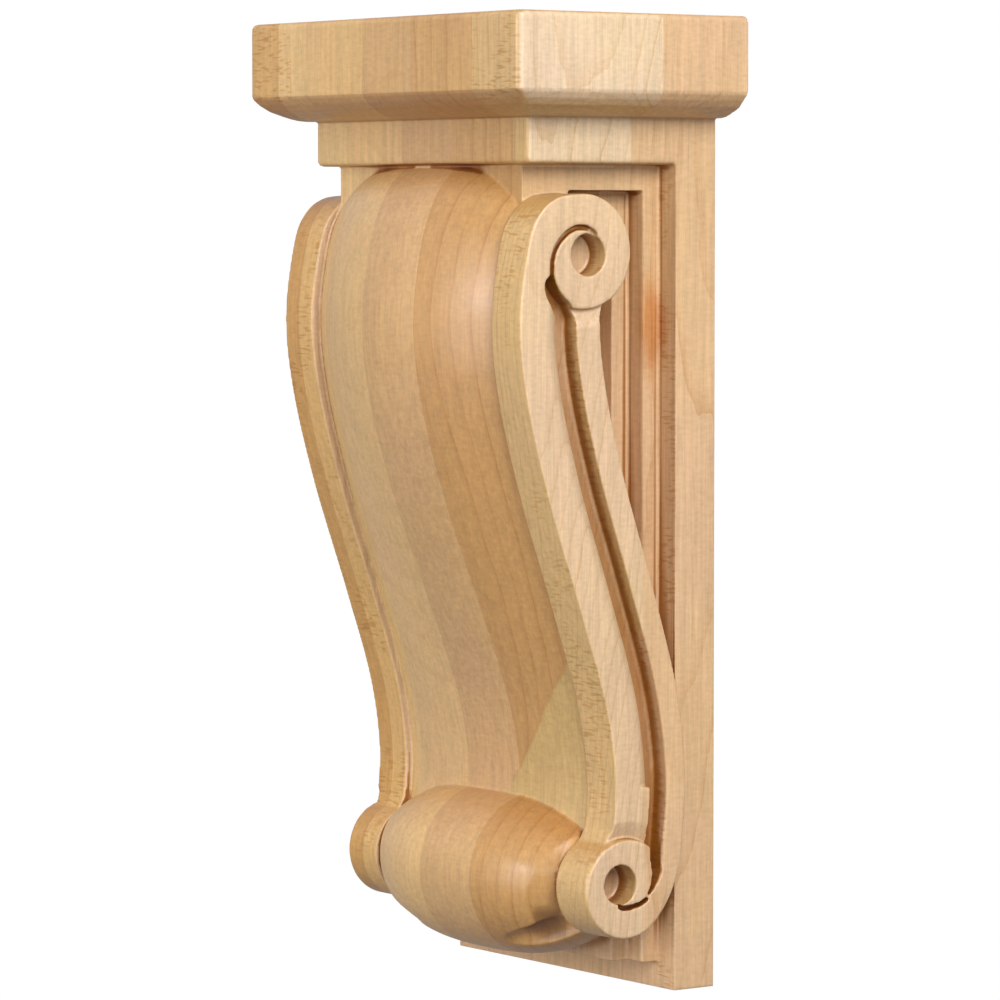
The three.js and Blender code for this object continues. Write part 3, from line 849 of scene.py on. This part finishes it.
    finish = wood.tree.nodes["Principled BSDF"]
    for name, signal in (("Base Color", colour), ("Roughness", rough), ("Normal", bump)):
        wood.tree.links.new(signal.socket, finish.inputs[name])
    finish.inputs["Coat Weight"].default_value = look["coat"]
    finish.inputs["Coat Roughness"].default_value = look["coatRoughness"]
    finish.inputs["Coat IOR"].default_value = look["coatIndex"]
    return material


carvedCorbel.data.materials.clear()
carvedCorbel.data.materials.append(glazedMaple())
print("maple laid on")


# floor, backdrop, lights and camera, in metres
studio = {
    "floorDrop": 1.8, "floorSize": 30.0, "floorColour": (0.9, 0.9, 0.9), "floorGlow": 0.6,
    "domeRadius": 9.0, "domeColour": (0, 0, 0), "domeGlow": 1.0,
    "skyAbove": 0.72, "skyBelow": 0.36, "skyFade": (-0.35, 0.75),
    # softboxes: name, place, what it looks at, width, height, power and colour
    "softboxes": [
        ("rightSoftbox", (0.95, -0.30, 0.55), (0, 0, 0), 0.6, 0.6, 10.5, (0.96, 0.98, 1.0)),
        ("frontSoftbox", (-0.30, -2.4, 0.10), (0, 0, 0), 1.3, 1.3, 17, (1, 1, 1)),
        ("windowSoftbox", (-0.40, -2.25, 0.44), (0, 0, 0.1), 0.24, 0.42, 4.5, (1.0, 0.93, 0.96)),
        ("lowSoftbox", (1.35, -1.5, -0.25), (0, 0, -0.1), 0.3, 0.3, 1.8, (1, 1, 1)),
        ("backSoftbox", (-1.3, 1.7, 0.5), (0, 0, 0), 1.2, 1.2, 14, (1, 1, 1)),
    ],
    "cameraPlace": (1.26444, -0.94521, 0.08980), "cameraTurn": 54.4314, "cameraPitch": 3.304, "lens": 175.6,
}


def plainMaterial(name, colour, glow):
    material = bpy.data.materials.new(name)
    material.use_nodes = True
    plain = material.node_tree.nodes["Principled BSDF"]
    plain.inputs["Base Color"].default_value = (*colour, 1)
    plain.inputs["Roughness"].default_value = 0.9
    plain.inputs["Emission Color"].default_value = (1, 1, 1, 1)
    plain.inputs["Emission Strength"].default_value = glow
    return material


def floor():
    bm = bmesh.new()
    bmesh.ops.create_circle(bm, cap_ends=True, segments=96, radius=studio["floorSize"] / 2)
    bmesh.ops.translate(bm, vec=(0, 0, frameLow.z - studio["floorDrop"]), verts=bm.verts)
    piece = finished(bm, "floor")
    piece.data.materials.append(plainMaterial("paleFloor", studio["floorColour"], studio["floorGlow"]))
    piece.visible_diffuse = piece.visible_glossy = False
    return piece


def backdrop():
    bm = bmesh.new()
    bmesh.ops.create_uvsphere(bm, u_segments=64, v_segments=32, radius=studio["domeRadius"])
    bmesh.ops.reverse_faces(bm, faces=bm.faces)
    piece = finished(bm, "backdrop")
    piece.data.materials.append(plainMaterial("paleBackdrop", studio["domeColour"], studio["domeGlow"]))
    piece.visible_diffuse = piece.visible_glossy = piece.visible_shadow = False
    return piece


def softbox(name, place, target, width, height, power, colour):
    light = bpy.data.lights.new(name, "AREA")
    light.shape, light.size, light.size_y = "RECTANGLE", width, height
    light.energy, light.color = power, colour
    lamp = bpy.data.objects.new(name, light)
    lamp.location = place
    lamp.rotation_euler = (Vector(target) - Vector(place)).to_track_quat("-Z", "Y").to_euler()
    scene.collection.objects.link(lamp)
    return lamp


floor()
backdrop()
for box in studio["softboxes"]:
    softbox(*box)

world = bpy.data.worlds.new("studio")
world.use_nodes = True
sky = Graph(world)
upward = sky.node("SeparateXYZ", inputs={0: sky.node("TexCoord", output="Generated")}, output="Z")
brighter = studio["skyAbove"] - studio["skyBelow"]
glow = sky.smooth(upward, *studio["skyFade"]) * brighter + studio["skyBelow"]
sky.tree.links.new(glow.socket, sky.tree.nodes["Background"].inputs["Strength"])
sky.tree.nodes["Background"].inputs["Color"].default_value = (1, 1, 1, 1)
scene.world = world
scene.view_settings.view_transform = "Standard"

camera = bpy.data.objects.new("camera", bpy.data.cameras.new("camera"))
camera.location = studio["cameraPlace"]
camera.rotation_euler = (math.radians(90 - studio["cameraPitch"]), 0, math.radians(studio["cameraTurn"]))
camera.data.lens = studio["lens"]
camera.data.clip_start, camera.data.clip_end = 0.01, 100
scene.collection.objects.link(camera)
scene.camera = camera
print("studio set up")
